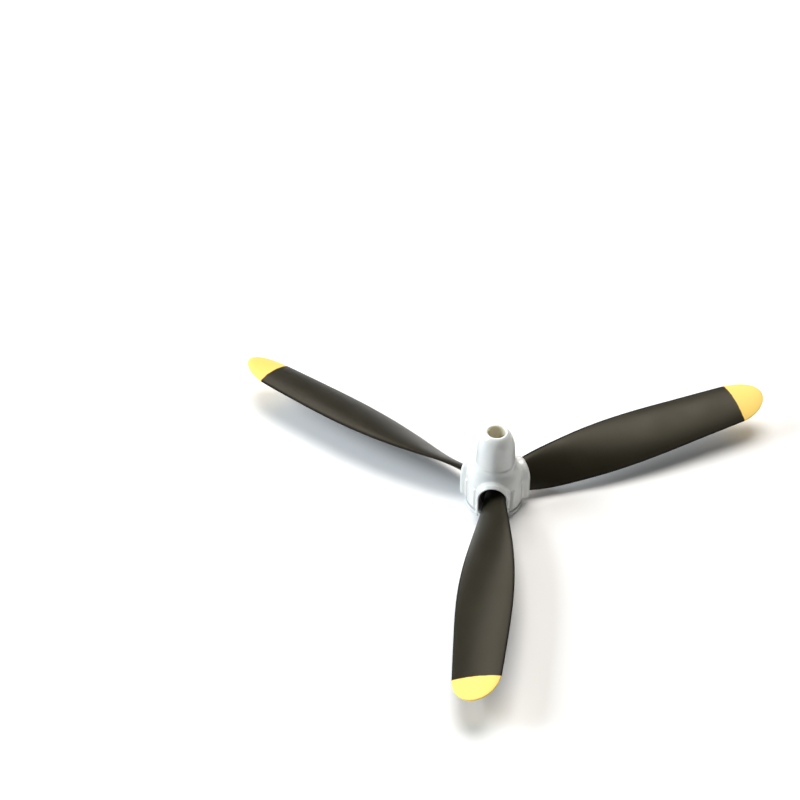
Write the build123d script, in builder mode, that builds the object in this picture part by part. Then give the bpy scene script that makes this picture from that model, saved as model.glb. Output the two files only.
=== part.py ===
from build123d import *

import os
from math import atan2, cos, degrees, pi, radians, sin

# Three-blade propeller of a small electric model aircraft, 127 mm across.
# A black one-piece blade moulding turns on a brass bush. A grey back plate closes the hub behind,
# and a grey cover with a bullet nose is pushed on from the front, with a hood over each blade root.
#
# Frame: the origin is on the spin axis in the rear face of the back plate. +Z points forward, out of
# the nose, and +X runs along blade one. The propeller turns counter-clockwise seen from the nose.
# Lengths are millimetres and angles are degrees.

# Blades
blade_count = 3
tip_radius = 63.5
helix_pitch = 69.7
root_angle_limit = 47.2
root_angle_ease = 8.0
tip_wash_in = 4.2
wash_in_start = 0.45
blade_stand = 3.25
cone_rise = 2.37
tip_lift = 0.43
root_set_back = 0.18
root_rise = 0.6
root_lead = 0.3
root_ease_radius = 16.0
sweep_back = 1.23
camber = 0.04
edge_thickness = 0.4
leading_round_length = 7.5
trailing_round_length = 7.1
tip_round_ease = 0.05
root_radius = 1.9
overrun = 0.03

# Sections along the blade: share of the way from the root radius to the tip, chord and thickness.
blade_stations = [
    (0.00, 5.2, 2.00),
    (0.04, 5.95, 1.60),
    (0.08, 6.95, 1.42),
    (0.14, 8.35, 1.24),
    (0.22, 9.6, 1.18),
    (0.32, 10.9, 1.15),
    (0.44, 11.8, 1.13),
    (0.57, 11.8, 1.08),
    (0.71, 11.0, 1.00),
    (0.84, 10.15, 0.92),
    (0.92, 9.6, 0.86),
    (0.97, 9.4, 0.82),
    (1.00, 9.2, 0.80),
]

# Hub of the blade moulding, with its bush
boss_radius = 2.85
boss_top = 8.8
boss_edge_round = 0.35
bush_radius = 1.8
bush_flange_width = 0.6
bush_flange_thickness = 0.5
shaft_radius = 1.0
shaft_lead_in = 0.25

# Back plate
plate_overhang = 0.15
plate_thickness = 1.0
plate_edge_round = 0.3
land_inset = 0.45
land_height = 0.4
peg_radius = 0.55
peg_inset = 1.05
peg_height = 2.2
peg_lead_in = 0.15

# Hub cover
dome_radius = 4.1
dome_taper = 0.15
dome_round_height = 4.1
nose_height = 19.0
nose_rim = 0.42
nose_bore_radius = 1.8
nose_flare = 0.35
crease_height = 11.5
crease_step = 0.22
shoulder_height = 7.2
skirt_radius = 5.75
hood_wall = 0.65
hood_lip_wall = 0.4
hood_stand = 0.45
hood_lip = 0.4
rib_radius = 0.5
rib_sink = 0.05
rib_spread = 17.0
rib_top = 6.7
rib_foot_gap = 0.55

# Clearances
boss_clearance = 0.35
flange_clearance = 0.3
peg_clearance = 0.05
land_clearance = 0.1
blade_side_clearance = 0.37
blade_head_clearance = 1.77

# Worked out
plate_radius = skirt_radius + plate_overhang
land_radius = skirt_radius - land_inset
peg_circle = skirt_radius - peg_inset
rib_circle = skirt_radius - rib_sink
hood_reach = skirt_radius + hood_stand
dome_top_radius = dome_radius - dome_taper
nose_land_radius = nose_bore_radius + nose_rim
bush_flange_radius = bush_radius + bush_flange_width
blade_plane_height = plate_thickness + blade_stand
land_top = plate_thickness + land_height
flange_top = boss_top + bush_flange_thickness
cavity_top = flange_top + flange_clearance
pillar_angle = 180 / blade_count
blade_length = tip_radius - root_radius
leading_start = tip_radius - leading_round_length
trailing_start = tip_radius - trailing_round_length


def blade_radius(share):
    """Radius of a station, from its share of the way from root to tip."""
    return root_radius + share * blade_length


def blade_angle(radius):
    """Angle of the chord to the disc: a constant helix, eased into a limit at the root, raised at the tip."""
    helix = degrees(atan2(helix_pitch, 2 * pi * radius))
    helix /= (1 + (helix / root_angle_limit) ** root_angle_ease) ** (1 / root_angle_ease)
    outer = max(0.0, (radius / tip_radius - wash_in_start) / (1 - wash_in_start))
    return helix + tip_wash_in * outer**2


def blade_centre(radius):
    """Middle of the chord: set and swept back in the disc, coned forward, lifted at the root and the tip."""
    share = radius / tip_radius
    root = max(0.0, 1 - radius / root_ease_radius) ** 2
    tip = max(0.0, (radius - leading_start) / leading_round_length) ** 2
    back = root_set_back * (1 - share) + sweep_back * share**2 - root_lead * root
    return Vector(radius, -back, blade_plane_height + cone_rise * share + root_rise * root + tip_lift * tip)


def blade_plane(radius):
    """Plane across the blade, with x along the chord to the leading edge and y out of the front face."""
    angle = radians(blade_angle(radius))
    return Plane(origin=blade_centre(radius), x_dir=(0, cos(angle), sin(angle)), z_dir=(1, 0, 0))


def blade_outline(chord, thickness):
    """Curved plate section: a convex front, a hollow back, a round leading and a square trailing edge."""
    crest = 4 / 3
    front = crest * (camber * chord + thickness / 2)
    back = crest * (camber * chord - thickness / 2)
    half = chord / 2
    nose = edge_thickness / 2
    aft, fore = -0.22 * chord, 0.30 * chord
    with BuildLine() as outline:
        Bezier((-half, nose), (aft, front), (fore, front), (half - nose, nose))
        ThreePointArc((half - nose, nose), (half, 0), (half - nose, -nose))
        Bezier((half - nose, -nose), (fore, back), (aft, back), (-half, -nose))
        Line((-half, -nose), (-half, nose))
    return outline.line


def arch_outline(half_width, top_height, base_height):
    """Inverted U: straight sides under a half-round top."""
    spring = top_height - half_width
    with BuildLine() as outline:
        Line((-half_width, base_height), (half_width, base_height))
        Line((half_width, base_height), (half_width, spring))
        ThreePointArc((half_width, spring), (0, top_height), (-half_width, spring))
        Line((-half_width, spring), (-half_width, base_height))
    return outline.line


def chord_at(radius):
    """Chord at any radius, straight between the stations either side."""
    share = (radius - root_radius) / blade_length
    for (inner, inner_chord, _), (outer, outer_chord, _) in zip(blade_stations, blade_stations[1:]):
        if share <= outer:
            break
    return inner_chord + (outer_chord - inner_chord) * (share - inner) / (outer - inner)


def blade_edge(radius, side):
    """Y of the leading (side 1) or trailing (side -1) edge, seen along the spin axis."""
    return blade_centre(radius).Y + side * chord_at(radius) / 2 * cos(radians(blade_angle(radius)))


# The hoods are fitted to the blades where these leave them.
blade_top = blade_centre(hood_reach).Z + chord_at(hood_reach) / 2 * sin(radians(blade_angle(hood_reach)))
blade_side = max(blade_edge(hood_reach, 1) + root_set_back, -blade_edge(hood_reach, -1) - root_set_back)
hood_half_width = blade_side + blade_side_clearance
hood_inner_top = blade_top + blade_head_clearance
hood_plane = Plane(origin=(0, -root_set_back, 0), x_dir=(0, 1, 0), z_dir=(1, 0, 0))


# One blade, run on past the tip and then cut to its rounded outline.
with BuildPart() as blade:
    for share, chord, thickness in blade_stations + [(1 + overrun, *blade_stations[-1][1:])]:
        with BuildSketch(blade_plane(blade_radius(share))):
            add(blade_outline(chord, thickness))
            make_face()
    loft()
    with BuildSketch(Plane.XY):
        tip_middle = blade_centre(tip_radius).Y
        with BuildLine():
            trailing_width = tip_middle - blade_edge(trailing_start, -1) + tip_round_ease
            leading_width = blade_edge(leading_start, 1) - tip_middle + tip_round_ease
            trailing = EllipticalCenterArc(
                (trailing_start, tip_middle), trailing_round_length, trailing_width, start_angle=-90
            )
            leading = EllipticalCenterArc((leading_start, tip_middle), leading_round_length, leading_width)
            Polyline(
                leading @ 1,
                (leading_start, tip_radius),
                (0, tip_radius),
                (0, -tip_radius),
                (trailing_start, -tip_radius),
                trailing @ 0,
            )
        make_face()
    extrude(amount=2 * nose_height, both=True, mode=Mode.INTERSECT)

# The blade moulding: three blades that flare into a round boss, bored for the bush.
with BuildPart() as blade_rotor:
    with BuildSketch(Plane.XY.offset(plate_thickness)):
        Circle(boss_radius)
    extrude(amount=boss_top - plate_thickness)
    fillet(blade_rotor.edges().sort_by(Axis.Z)[-1], boss_edge_round)
    with PolarLocations(0, blade_count):
        add(blade.part)
    with BuildSketch(Plane.XY.offset(plate_thickness)):
        Circle(bush_radius)
    extrude(amount=boss_top, mode=Mode.SUBTRACT)

# The brass bush: a flanged tube through the boss and the plate, with a lead-in for the shaft.
with BuildPart() as shaft_bush:
    with BuildSketch():
        Circle(bush_radius)
    extrude(amount=boss_top)
    with BuildSketch(Plane.XY.offset(boss_top)):
        Circle(bush_flange_radius)
    extrude(amount=bush_flange_thickness)
    with BuildSketch():
        Circle(shaft_radius)
    extrude(amount=flange_top, mode=Mode.SUBTRACT)
    chamfer(shaft_bush.edges().filter_by(GeomType.CIRCLE).sort_by(SortBy.RADIUS)[0:2], shaft_lead_in)

# The slot under one hood, open to the rear, that the cover slides down a blade root with.
with BuildPart() as blade_slot:
    with BuildSketch(hood_plane):
        add(arch_outline(hood_half_width, hood_inner_top, -plate_thickness))
        make_face()
    extrude(amount=2 * hood_reach)

# The back plate: a round disc with a land and a peg under each pillar of the cover.
with BuildPart() as back_plate:
    with BuildSketch():
        Circle(plate_radius)
    extrude(amount=plate_thickness)
    chamfer(back_plate.edges().group_by(Axis.Z)[0], plate_edge_round)
    with BuildSketch(Plane.XY.offset(plate_thickness)) as lands:
        Circle(land_radius)
        with PolarLocations(hood_reach, blade_count):
            with Locations((0, -root_set_back)):
                Rectangle(2 * hood_reach, 2 * hood_half_width, mode=Mode.SUBTRACT)
        Circle(boss_radius + land_clearance, mode=Mode.SUBTRACT)
    extrude(amount=land_height)
    with BuildSketch(Plane.XY.offset(land_top)):
        with PolarLocations(peg_circle, blade_count, start_angle=pillar_angle):
            Circle(peg_radius)
    extrude(amount=peg_height)
    chamfer(back_plate.edges().group_by(Axis.Z)[-1], peg_lead_in)
    with BuildSketch():
        Circle(bush_radius)
    extrude(amount=land_top, mode=Mode.SUBTRACT)

# One hood of the cover: an arched tunnel with a thinner lip at its mouth.
with BuildPart() as hood:
    with BuildSketch(hood_plane):
        add(arch_outline(hood_half_width + hood_wall, hood_inner_top + hood_wall, land_top))
        make_face()
    extrude(amount=hood_reach)
    with BuildSketch(hood_plane.offset(hood_reach)):
        add(arch_outline(hood_half_width + hood_lip_wall, hood_inner_top + hood_lip_wall, land_top))
        make_face()
    extrude(amount=hood_lip)

# One half-round rib, with a rounded foot.
with BuildPart() as rib:
    foot = land_top + rib_foot_gap + rib_radius
    with BuildSketch(Plane.XY.offset(foot)):
        Circle(rib_radius)
    extrude(amount=rib_top - foot)
    with Locations((0, 0, foot)):
        Sphere(rib_radius)

# The cover: nose, shoulder and skirt turned about the axis, with the hoods and ribs added.
with BuildPart() as hub_cover:
    with BuildSketch(Plane.XZ):
        with BuildLine():
            Line((0, land_top), (skirt_radius, land_top))
            Line((skirt_radius, land_top), (skirt_radius, shoulder_height))
            barrel = (dome_radius + crease_step, crease_height - crease_step)
            Bezier(
                (skirt_radius, shoulder_height),
                (skirt_radius, shoulder_height + (crease_height - shoulder_height) / 2),
                (dome_radius + crease_step, crease_height - (crease_height - shoulder_height) / 2),
                barrel,
            )
            Line(barrel, (dome_radius, crease_height))
            side_top = (dome_top_radius, nose_height - dome_round_height)
            Line((dome_radius, crease_height), side_top)
            Bezier(
                side_top,
                (dome_top_radius - 0.05, nose_height - 2.2),
                (nose_land_radius + 0.8, nose_height - 0.3),
                (nose_land_radius, nose_height),
            )
            Line((nose_land_radius, nose_height), (0, nose_height))
            Line((0, nose_height), (0, land_top))
        make_face()
    revolve(axis=Axis.Z)
    with PolarLocations(0, blade_count):
        add(hood.part)
    for side in (-1, 1):
        with PolarLocations(rib_circle, blade_count, start_angle=pillar_angle + side * rib_spread):
            add(rib.part)
    with PolarLocations(0, blade_count):
        add(blade_slot.part, mode=Mode.SUBTRACT)
    with BuildSketch(Plane.XY.offset(land_top)):
        Circle(boss_radius + boss_clearance)
    extrude(amount=cavity_top - land_top, mode=Mode.SUBTRACT)
    with BuildSketch(Plane.XY.offset(land_top)):
        with PolarLocations(peg_circle, blade_count, start_angle=pillar_angle):
            Circle(peg_radius + peg_clearance)
    extrude(amount=peg_height + flange_clearance, mode=Mode.SUBTRACT)
    with BuildSketch(Plane.XY.offset(cavity_top)):
        Circle(nose_bore_radius)
    extrude(amount=nose_height - cavity_top, mode=Mode.SUBTRACT)
    mouth = hub_cover.edges().filter_by(GeomType.CIRCLE).group_by(Axis.Z)[-1].sort_by(SortBy.RADIUS)[0]
    fillet(mouth, nose_flare)

blade_rotor.part.label = "blade_rotor"
shaft_bush.part.label = "shaft_bush"
back_plate.part.label = "back_plate"
hub_cover.part.label = "hub_cover"

os.makedirs("parts", exist_ok=True)
for piece in (blade_rotor, shaft_bush, back_plate, hub_cover):
    export_step(piece.part, f"parts/{piece.part.label}.step")
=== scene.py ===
"""Looks for a three-blade model aircraft propeller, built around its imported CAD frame.

The frame's origin is on the spin axis in the rear face, +Z points out of the nose and +X lies along
blade one. Lengths are metres unless a name ends in _mm.
"""

import math

import bmesh
import bpy
import numpy as np
from mathutils import Matrix, Vector


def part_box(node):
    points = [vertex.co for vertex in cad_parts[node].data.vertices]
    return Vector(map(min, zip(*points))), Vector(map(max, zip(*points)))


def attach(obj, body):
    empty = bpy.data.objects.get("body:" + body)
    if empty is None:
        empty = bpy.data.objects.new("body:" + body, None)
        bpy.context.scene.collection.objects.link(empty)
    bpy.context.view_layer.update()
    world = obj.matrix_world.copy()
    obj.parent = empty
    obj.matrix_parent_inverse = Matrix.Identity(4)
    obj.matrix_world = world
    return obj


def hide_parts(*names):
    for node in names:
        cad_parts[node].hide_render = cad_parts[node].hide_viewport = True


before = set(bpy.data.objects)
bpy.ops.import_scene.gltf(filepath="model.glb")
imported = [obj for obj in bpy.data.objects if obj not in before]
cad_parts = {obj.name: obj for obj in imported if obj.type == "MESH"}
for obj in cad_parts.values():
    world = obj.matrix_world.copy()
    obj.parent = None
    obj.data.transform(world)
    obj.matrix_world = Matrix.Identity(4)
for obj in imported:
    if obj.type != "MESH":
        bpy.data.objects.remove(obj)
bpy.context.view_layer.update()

# ---------------------------------------------------------------------------------------------------
# Camera. A long lens looks down over the propeller from in front and a little to the left, so that
# blade one points away to the right. Places are given as (to the right, away, up) from the origin as
# that viewer sees it, and the viewer stands turned from the frame by view_turn.

view_turn = math.radians(26.43)
view_place = (-0.01972, -0.39676, 0.36644)
view_down = math.radians(40.54)
view_roll = math.radians(0.73)
view_lens = 116.95


def seen_from_front(place):
    """Turn a place given as (right, away, up) for the viewer into the frame's own axes."""
    return Matrix.Rotation(-view_turn, 4, "Z") @ Vector(place)


camera = bpy.data.objects.new("camera", bpy.data.cameras.new("camera"))
bpy.context.scene.collection.objects.link(camera)
camera.data.lens = view_lens
camera.data.sensor_width = 36.0
camera.data.clip_start = 0.01
camera.data.clip_end = 20.0
camera.matrix_world = (
    Matrix.Translation(seen_from_front(view_place))
    @ Matrix.Rotation(-view_turn, 4, "Z")
    @ Matrix.Rotation(math.pi / 2 - view_down, 4, "X")
    @ Matrix.Rotation(view_roll, 4, "Z")
)
bpy.context.scene.camera = camera
bpy.context.scene.view_settings.view_transform = "Standard"

# ---------------------------------------------------------------------------------------------------
# Floor and light. A flat white floor under soft boxes: a cool key low on the left, a warm box overhead
# and a small one behind that puts a sheen on the blades. A faint warm surround fills the shadows.

floor_half = 3.0
cool_white = (0.86, 0.94, 1.0)
warm_white = (1.0, 0.97, 0.92)
floor_corners = [(x * floor_half, y * floor_half, 0) for x, y in ((-1, -1), (1, -1), (1, 1), (-1, 1))]
floor_mesh = bpy.data.meshes.new("floor")
floor_mesh.from_pydata(floor_corners, [], [(0, 1, 2, 3)])
floor = bpy.data.objects.new("floor", floor_mesh)
bpy.context.scene.collection.objects.link(floor)
floor_paint = bpy.data.materials.new("matt_white_floor")
floor_paint.use_nodes = True
floor_shader = floor_paint.node_tree.nodes["Principled BSDF"]
floor_shader.inputs["Base Color"].default_value = (0.88, 0.88, 0.885, 1)
floor_shader.inputs["Roughness"].default_value = 0.9
floor_shader.inputs["Specular IOR Level"].default_value = 0.1
floor_mesh.materials.append(floor_paint)


def soft_box(name, place, width, height, watts, colour):
    """A rectangular area light at place, given as (right, away, up), that faces the origin."""
    light = bpy.data.lights.new(name, "AREA")
    light.shape = "RECTANGLE"
    light.size = width
    light.size_y = height
    light.energy = watts
    light.color = colour
    box = bpy.data.objects.new(name, light)
    bpy.context.scene.collection.objects.link(box)
    where = seen_from_front(place)
    facing = where.to_track_quat("Z", "Y").to_matrix().to_4x4()
    box.matrix_world = Matrix.Translation(where) @ facing


soft_box("key_box", (-0.70, 0.06, 0.38), width=0.40, height=0.40, watts=7.6, colour=cool_white)
soft_box("top_box", (0.00, 0.30, 0.78), width=0.66, height=0.52, watts=7.6, colour=warm_white)
soft_box("back_card", (-0.16, 0.84, 0.60), width=0.40, height=0.24, watts=1.6, colour=warm_white)

surround = bpy.data.worlds.new("surround")
surround.use_nodes = True
sky = surround.node_tree.nodes["Background"]
sky.inputs["Color"].default_value = (1.0, 0.96, 0.90, 1)
sky.inputs["Strength"].default_value = 0.07
bpy.context.scene.world = surround

# ---------------------------------------------------------------------------------------------------
# Blade moulding. One black nylon moulding of a boss and three twisted, hollow-backed blades, with a
# fine spark texture from the mould. The last few millimetres of each blade are dipped in yellow paint.

blade_count = 3
tip_radius = 0.0635
root_radius = 0.0019
helix_pitch = 0.0697
root_angle_limit = 47.2
root_angle_ease = 8
tip_wash_in = 4.2
wash_in_start = 0.45
blade_plane_height = 0.00425
cone_rise = 0.00237
tip_lift = 0.00043
root_rise = 0.0006
root_lead = 0.0003
root_ease_radius = 0.016
root_set_back = 0.00018
sweep_back = 0.00123
camber = 0.04
leading_round = 0.0075
trailing_round = 0.0071
crest_aft = -0.22
crest_fore = 0.30
edge_thickness = 0.0004
edge_share = 0.8
edge_band = 0.00045
boss_radius = 0.00285
boss_bore = 0.0018
boss_round = 0.00035
boss_steps = 96
around_count = 96
even_rows = 90
tip_rows = 46
tip_share = 0.16
tip_crowding = 1.6
last_row = 0.99999
paint_radius = 0.0571
paint_ragged = 0.00006
paint_rim = 0.00014

# Along the blade: share of the way from root to tip, and the chord and thickness there.
stations = np.array([0.0, 0.04, 0.08, 0.14, 0.22, 0.32, 0.44, 0.57, 0.71, 0.84, 0.92, 0.97, 1.0])
chords = np.array([5.2, 5.95, 6.95, 8.35, 9.6, 10.9, 11.8, 11.8, 11.0, 10.15, 9.6, 9.4, 9.2]) / 1000
thicknesses = np.array([2.0, 1.6, 1.42, 1.24, 1.18, 1.15, 1.13, 1.08, 1.0, 0.92, 0.86, 0.82, 0.8]) / 1000


def smooth_curve(x, xs, ys):
    """Natural cubic spline through (xs, ys): straight-line second derivatives between the knots."""
    h = np.diff(xs)
    slope = np.diff(ys) / h
    n = len(xs)
    a = np.eye(n)
    b = np.zeros(n)
    inner = np.arange(1, n - 1)
    a[inner, inner - 1] = h[:-1]
    a[inner, inner] = 2 * (h[:-1] + h[1:])
    a[inner, inner + 1] = h[1:]
    b[1:-1] = 6 * np.diff(slope)
    m = np.linalg.solve(a, b)
    i = np.clip(np.searchsorted(xs, x) - 1, 0, n - 2)
    t = x - xs[i]
    rise = slope[i] - h[i] * (2 * m[i] + m[i + 1]) / 6
    return ys[i] + t * rise + t**2 * m[i] / 2 + t**3 * (m[i + 1] - m[i]) / (6 * h[i])


def across_section(t):
    """Share of the chord from its middle, at t from trailing (0) to leading (1): a cubic Bezier.

    Its ends are half a chord out, and crest_aft and crest_fore are its inner points.
    """
    ends = 0.5 * t**3 - 0.5 * (1 - t) ** 3
    return ends + 3 * t * (1 - t) * (crest_aft * (1 - t) + crest_fore * t)


def blade_surface(along, around):
    """Grid of points over one blade, and how far each is from the blade's nearest long edge.

    Each row is a curved plate: a mean line that is a cubic arch over the chord, and a thickness that
    is another, closed by round edges. Rows are turned to the helix angle. At the tip the arch goes on
    as it is, while the row is cut to quarter ellipses and its thickness runs out with its width.
    """
    along = along[:, None]
    radius = root_radius + (tip_radius - root_radius) * along
    share = radius / tip_radius
    chord = smooth_curve(along, stations, chords)
    thick = smooth_curve(along, stations, thicknesses)

    helix = np.degrees(np.arctan2(helix_pitch, 2 * np.pi * radius))
    helix = helix / (1 + (helix / root_angle_limit) ** root_angle_ease) ** (1 / root_angle_ease)
    outer = np.maximum(0, (share - wash_in_start) / (1 - wash_in_start))
    angle = np.radians(helix + tip_wash_in * outer**2)

    lead_in = np.clip((radius - tip_radius + leading_round) / leading_round, 0, 1)
    trail_in = np.clip((radius - tip_radius + trailing_round) / trailing_round, 0, 1)
    fore = chord / 2 * np.sqrt(1 - lead_in**2)
    aft = chord / 2 * np.sqrt(1 - trail_in**2)
    width = fore + aft
    middle = (fore - aft) / 2
    thick = thick * np.sqrt(width / chord)
    edge = np.minimum(edge_thickness, edge_share * thick)

    # Around the section: front from trailing to leading, leading edge, back, trailing edge.
    turn = around[None, :] * 4
    leg = np.floor(turn).astype(int) % 4
    t = turn - np.floor(turn)
    face_t = np.where(leg == 2, 1 - t, t)
    bow = 4 * face_t * (1 - face_t)
    end_weight = 1 - 3 * face_t * (1 - face_t)
    half_thick = bow * thick / 2 + end_weight * edge / 2
    round_angle = np.pi * (0.5 - t)
    rim_x = (width - edge) / 2 + edge / 2 * np.cos(round_angle)
    rim_y = edge / 2 * np.sin(round_angle)
    face_x = across_section(face_t) * (width - edge)
    x = np.select([leg == 0, leg == 1, leg == 2], [face_x, rim_x, face_x], -rim_x)
    y = np.select([leg == 0, leg == 1, leg == 2], [half_thick, rim_y, -half_thick], -rim_y)
    margin = width / 2 - np.abs(x)

    x = x + middle
    guide = np.linspace(0, 1, 201)
    arch_t = np.interp(x / chord, across_section(guide), guide)
    y = y + 4 * arch_t * (1 - arch_t) * camber * chord
    root = np.maximum(0, 1 - radius / root_ease_radius) ** 2
    middle_y = root_lead * root - root_set_back * (1 - share) - sweep_back * share**2
    middle_z = blade_plane_height + cone_rise * share + root_rise * root + tip_lift * lead_in**2
    points = np.stack(
        [
            radius + 0 * x,
            middle_y + x * np.cos(angle) - y * np.sin(angle),
            middle_z + x * np.sin(angle) + y * np.cos(angle),
        ],
        axis=-1,
    )
    return points, margin


def loop_faces(rows, columns):
    """Quads of a grid that closes on itself across its columns, wound to face outwards."""
    i, j = np.meshgrid(np.arange(rows - 1), np.arange(columns), indexing="ij")
    k = (j + 1) % columns
    here, onward = i * columns, (i + 1) * columns
    return np.stack([here + j, here + k, onward + k, onward + j], -1).reshape(-1, 4)


def turned_surface(profile, steps, start):
    """A closed (radius, height) profile turned about the spin axis: points, and quads from start on."""
    angle = np.linspace(0, 2 * np.pi, steps, endpoint=False)
    r, z = profile[:, 0], profile[:, 1]
    points = np.stack(
        [np.outer(np.cos(angle), r), np.outer(np.sin(angle), r), np.outer(np.ones(steps), z)], -1
    ).reshape(-1, 3)
    n = len(profile)
    i, j = np.meshgrid(np.arange(steps), np.arange(n), indexing="ij")
    a, b = (i + 1) % steps, (j + 1) % n
    return points, start + np.stack([i * n + j, a * n + j, a * n + b, i * n + b], -1).reshape(-1, 4)


def rounded_corners(corners, radii, steps=6):
    """A closed profile through corners, each cut off by an arc-like quadratic of the given radius."""
    corners = np.asarray(corners, float)
    out = []
    for before, here, after, radius in zip(np.roll(corners, 1, 0), corners, np.roll(corners, -1, 0), radii):
        into = (before - here) / np.linalg.norm(before - here)
        away = (after - here) / np.linalg.norm(after - here)
        t = np.linspace(0, 1, steps if radius > 0 else 1)[:, None]
        a, b = here + into * radius, here + away * radius
        out.append((1 - t) ** 2 * a + 2 * t * (1 - t) * here + t**2 * b)
    return np.concatenate(out)


def new_piece(name, points, faces, material):
    """A mesh object at the origin, with its place in its points, outward faces and one material."""
    mesh = bpy.data.meshes.new(name)
    mesh.from_pydata(points.tolist(), [], faces)
    mesh.validate()
    cleaner = bmesh.new()
    cleaner.from_mesh(mesh)
    bmesh.ops.recalc_face_normals(cleaner, faces=cleaner.faces)
    cleaner.to_mesh(mesh)
    cleaner.free()
    mesh.polygons.foreach_set("use_smooth", np.full(len(mesh.polygons), True))
    mesh.materials.append(material)
    piece = bpy.data.objects.new(name, mesh)
    bpy.context.scene.collection.objects.link(piece)
    return piece


def new_material(name):
    """An empty node material: its tree, its shader, and a source of Object coordinates."""
    material = bpy.data.materials.new(name)
    material.use_nodes = True
    tree = material.node_tree
    shader = tree.nodes["Principled BSDF"]
    place = tree.nodes.new("ShaderNodeTexCoord").outputs["Object"]
    return material, tree, shader, place


def radius_from_axis(tree, place):
    """Distance from the spin axis: the length of the place with its height taken out."""
    level = tree.nodes.new("ShaderNodeVectorMath")
    level.operation = "MULTIPLY"
    level.inputs[1].default_value = (1, 1, 0)
    length = tree.nodes.new("ShaderNodeVectorMath")
    length.operation = "LENGTH"
    tree.links.new(place, level.inputs[0])
    tree.links.new(level.outputs[0], length.inputs[0])
    return length.outputs["Value"]


def noise(tree, place, scale, detail, roughness=0.5):
    """Height of a cloudy pattern, scale bumps to the metre."""
    node = tree.nodes.new("ShaderNodeTexNoise")
    node.inputs["Scale"].default_value = scale
    node.inputs["Detail"].default_value = detail
    node.inputs["Roughness"].default_value = roughness
    tree.links.new(place, node.inputs["Vector"])
    return node.outputs["Fac"]


def remap(tree, value, low, high, out_low, out_high):
    """Value stretched from low..high to out_low..out_high, and held at the ends."""
    node = tree.nodes.new("ShaderNodeMapRange")
    for socket, number in zip(("From Min", "From Max", "To Min", "To Max"), (low, high, out_low, out_high)):
        node.inputs[socket].default_value = number
    tree.links.new(value, node.inputs["Value"])
    return node.outputs["Result"]


def spread(tree, pattern, low, high):
    """A cloudy pattern, most of which lies from 0.3 to 0.7, stretched to run from low to high."""
    return remap(tree, pattern, 0.3, 0.7, low, high)


def mixed(tree, factor, first, second):
    """Colour first where factor is 0 and second where it is 1. Each is a colour or a socket."""
    node = tree.nodes.new("ShaderNodeMix")
    node.data_type = "RGBA"
    tree.links.new(factor, node.inputs["Factor"])
    for socket, colour in ((node.inputs[6], first), (node.inputs[7], second)):
        if isinstance(colour, tuple):
            socket.default_value = (*colour, 1)
        else:
            tree.links.new(colour, socket)
    return node.outputs[2]


def maths(tree, operation, first, second):
    """One Math node. Each input is a number or a socket."""
    node = tree.nodes.new("ShaderNodeMath")
    node.operation = operation
    for socket, value in zip(node.inputs, (first, second)):
        if isinstance(value, (int, float)):
            socket.default_value = value
        else:
            tree.links.new(value, socket)
    return node.outputs[0]


def bumped(tree, shader, height, distance, strength):
    """Raise the shader's surface by height times distance, at a strength from 0 to 1."""
    node = tree.nodes.new("ShaderNodeBump")
    node.inputs["Strength"].default_value = strength
    node.inputs["Distance"].default_value = distance
    tree.links.new(height, node.inputs["Height"])
    tree.links.new(node.outputs["Normal"], shader.inputs["Normal"])


nylon, tree, shader, place = new_material("black_nylon_and_tip_paint")
grain = noise(tree, place, scale=5200, detail=2.0)
cloud = noise(tree, place, scale=160, detail=4.0, roughness=0.6)
wander = spread(tree, noise(tree, place, scale=900, detail=2.0), -paint_ragged, paint_ragged)
reach = maths(tree, "ADD", radius_from_axis(tree, place), wander)
painted = remap(tree, reach, paint_radius - paint_ragged / 2, paint_radius + paint_ragged / 2, 0, 1)
black = mixed(tree, cloud, (0.012, 0.010, 0.006), (0.017, 0.0145, 0.0085))
yellow = mixed(tree, cloud, (0.90, 0.60, 0.13), (0.95, 0.67, 0.18))
# Along both long edges the black is darkened further: painted shade along the rounded edges. The same band
# is also made duller.
edge_shade_and_dull = tree.nodes.new("ShaderNodeAttribute")
edge_shade_and_dull.attribute_name = "edge"
black = mixed(tree, edge_shade_and_dull.outputs["Fac"], black, (0.004, 0.003, 0.002))
from_rim = maths(tree, "ABSOLUTE", maths(tree, "SUBTRACT", reach, paint_radius), 0)
rim = remap(tree, from_rim, paint_ragged / 2, paint_rim, 0.75, 0)
dipped = mixed(tree, rim, mixed(tree, painted, black, yellow), (0.10, 0.045, 0.008))
tree.links.new(dipped, shader.inputs["Base Color"])
satin = spread(tree, cloud, 0.34, 0.42)
paint_dull = maths(tree, "MULTIPLY", painted, 0.06)
edge_dull = maths(tree, "MULTIPLY", edge_shade_and_dull.outputs["Fac"], 0.4)
duller = maths(tree, "ADD", paint_dull, edge_dull)
tree.links.new(maths(tree, "ADD", satin, duller), shader.inputs["Roughness"])
shader.inputs["Specular IOR Level"].default_value = 0.25
shader.inputs["Specular Tint"].default_value = (1.0, 0.93, 0.76, 1)
bumped(tree, shader, grain, distance=0.000012, strength=0.6)

# Rows are even along the blade and crowd together over the last tip_share of it. The last row stops
# just short of the tip, because a row there would have no width.
around = np.arange(around_count) / around_count
even_part = np.linspace(0, 1 - tip_share, even_rows, endpoint=False)
tip_part = 1 - tip_share * np.cos(np.linspace(0, np.pi / 2, tip_rows)) ** tip_crowding
blade_rows = np.concatenate([even_part, tip_part])
blade_rows[-1] = last_row
blade_points, blade_margin = blade_surface(blade_rows, around)
rows, columns = blade_margin.shape
# The band along both long edges, kept as the edge attribute: the material paints shade there and makes it
# duller.
edge_mask = np.clip(1.5 * (1 - blade_margin / edge_band), 0, 1)

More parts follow.
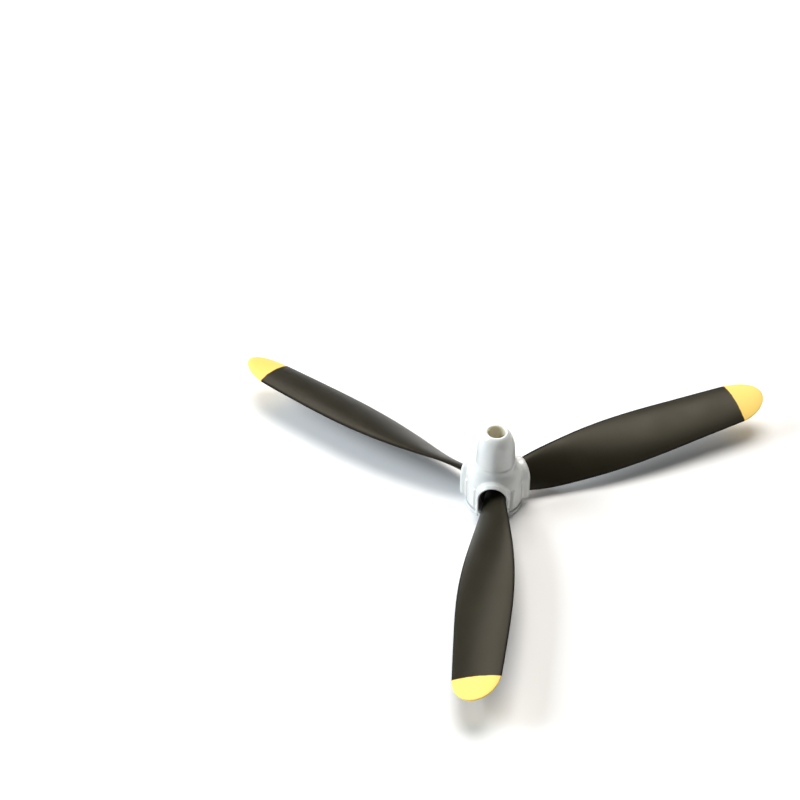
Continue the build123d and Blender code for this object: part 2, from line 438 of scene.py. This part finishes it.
points, faces, edge_values = [], [], []
count = 0
for number in range(blade_count):
    turn = number * 2 * np.pi / blade_count
    spin = np.array([[np.cos(turn), -np.sin(turn), 0], [np.sin(turn), np.cos(turn), 0], [0, 0, 1]])
    points.append(blade_points.reshape(-1, 3) @ spin.T)
    faces += (count + loop_faces(rows, columns)).tolist()
    faces.append((count + np.arange(columns)).tolist())
    faces.append((count + (rows - 1) * columns + np.arange(columns)[::-1]).tolist())
    edge_values.append(edge_mask.ravel())
    count += rows * columns

rotor_low, rotor_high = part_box("blade_rotor")
boss_corners = [
    (boss_bore, rotor_low.z),
    (boss_radius, rotor_low.z),
    (boss_radius, rotor_high.z),
    (boss_bore, rotor_high.z),
]
boss_profile = rounded_corners(boss_corners, [0, 0, boss_round, 0])
boss_points, boss_faces = turned_surface(boss_profile, boss_steps, count)
points.append(boss_points)
faces += boss_faces.tolist()
edge_values.append(np.zeros(len(boss_points)))

rotor = new_piece("three_blade_moulding", np.concatenate(points), faces, nylon)
edge_store = rotor.data.attributes.new("edge", "FLOAT", "POINT")
edge_store.data.foreach_set("value", np.concatenate(edge_values).astype(np.float32))
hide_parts("blade_rotor")
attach(rotor, "rotor")

# ---------------------------------------------------------------------------------------------------
# Hub cover. One light grey moulding with a bullet nose, a hood over each blade root and small ribs,
# with the soft edges of a polished mould. It is slightly translucent. Within the nose bore the colour
# is painted warmer: a painted glow that stands for light coming through the plastic.

nose_bore = 0.0018
weld_distance = 1e-7
voxel = 0.00013
cover_plastic, tree, shader, place = new_material("light_grey_plastic")
cloud = noise(tree, place, scale=220, detail=4.0, roughness=0.6)
grain = noise(tree, place, scale=3500, detail=2.0)
skin = mixed(tree, cloud, (0.64, 0.655, 0.645), (0.70, 0.71, 0.70))
# Painted glow: within the nose bore the colour turns warm cream, for light coming through the plastic.
painted_bore_glow = remap(tree, radius_from_axis(tree, place), nose_bore + 0.00002, nose_bore + 0.0002, 1, 0)
tree.links.new(mixed(tree, painted_bore_glow, skin, (0.76, 0.73, 0.61)), shader.inputs["Base Color"])
tree.links.new(spread(tree, cloud, 0.16, 0.24), shader.inputs["Roughness"])
shader.inputs["Subsurface Weight"].default_value = 0.5
shader.inputs["Subsurface Radius"].default_value = (1.0, 0.96, 0.82)
shader.inputs["Subsurface Scale"].default_value = 0.0012
shader.inputs["Coat Weight"].default_value = 0.35
shader.inputs["Coat Roughness"].default_value = 0.10
bumped(tree, shader, grain, distance=0.000008, strength=0.5)

cover_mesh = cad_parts["hub_cover"].data.copy()
cover_mesh.name = "hub_cover_shell"
cleaner = bmesh.new()
cleaner.from_mesh(cover_mesh)
bmesh.ops.remove_doubles(cleaner, verts=cleaner.verts, dist=weld_distance)
cleaner.to_mesh(cover_mesh)
cleaner.free()
cover = bpy.data.objects.new("nose_and_hood_cover", cover_mesh)
bpy.context.scene.collection.objects.link(cover)
remesh = cover.modifiers.new("even_skin", "REMESH")
remesh.mode = "VOXEL"
remesh.voxel_size = voxel
remesh.use_smooth_shade = True
soften = cover.modifiers.new("soft_edges", "SMOOTH")
soften.factor = 0.5
soften.iterations = 5
bpy.context.view_layer.update()
evaluated = cover.evaluated_get(bpy.context.evaluated_depsgraph_get())
baked = bpy.data.meshes.new_from_object(evaluated)
cover.modifiers.clear()
cover.data = baked
baked.materials.clear()
baked.materials.append(cover_plastic)
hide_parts("hub_cover")
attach(cover, "cover")

# ---------------------------------------------------------------------------------------------------
# Back plate. A round grey plate that closes the hub behind, with a low land and a peg under each
# pillar of the cover. It is the same plastic as the cover with a duller finish.

plate_plastic, tree, shader, place = new_material("satin_grey_plastic")
cloud = noise(tree, place, scale=260, detail=4.0, roughness=0.6)
grain = noise(tree, place, scale=4200, detail=2.0)
tree.links.new(mixed(tree, cloud, (0.66, 0.675, 0.67), (0.72, 0.73, 0.72)), shader.inputs["Base Color"])
tree.links.new(spread(tree, cloud, 0.42, 0.52), shader.inputs["Roughness"])
bumped(tree, shader, grain, distance=0.000010, strength=0.6)
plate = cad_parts["back_plate"]
plate.data.materials.clear()
plate.data.materials.append(plate_plastic)

# ---------------------------------------------------------------------------------------------------
# Shaft bush. A turned brass tube with a flange, pressed through the boss and the plate. The fine
# rings from the turning are a pattern that is squeezed along the axis.

brass, tree, shader, place = new_material("turned_brass")
stretch = tree.nodes.new("ShaderNodeMapping")
stretch.inputs["Scale"].default_value = (1, 1, 12)
tree.links.new(place, stretch.inputs["Vector"])
rings = noise(tree, stretch.outputs["Vector"], scale=2500, detail=2.0)
tree.links.new(mixed(tree, rings, (0.62, 0.44, 0.18), (0.78, 0.58, 0.28)), shader.inputs["Base Color"])
shader.inputs["Metallic"].default_value = 1.0
tree.links.new(spread(tree, rings, 0.24, 0.38), shader.inputs["Roughness"])
bumped(tree, shader, rings, distance=0.000006, strength=0.5)
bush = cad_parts["shaft_bush"]
bush.data.materials.clear()
bush.data.materials.append(brass)
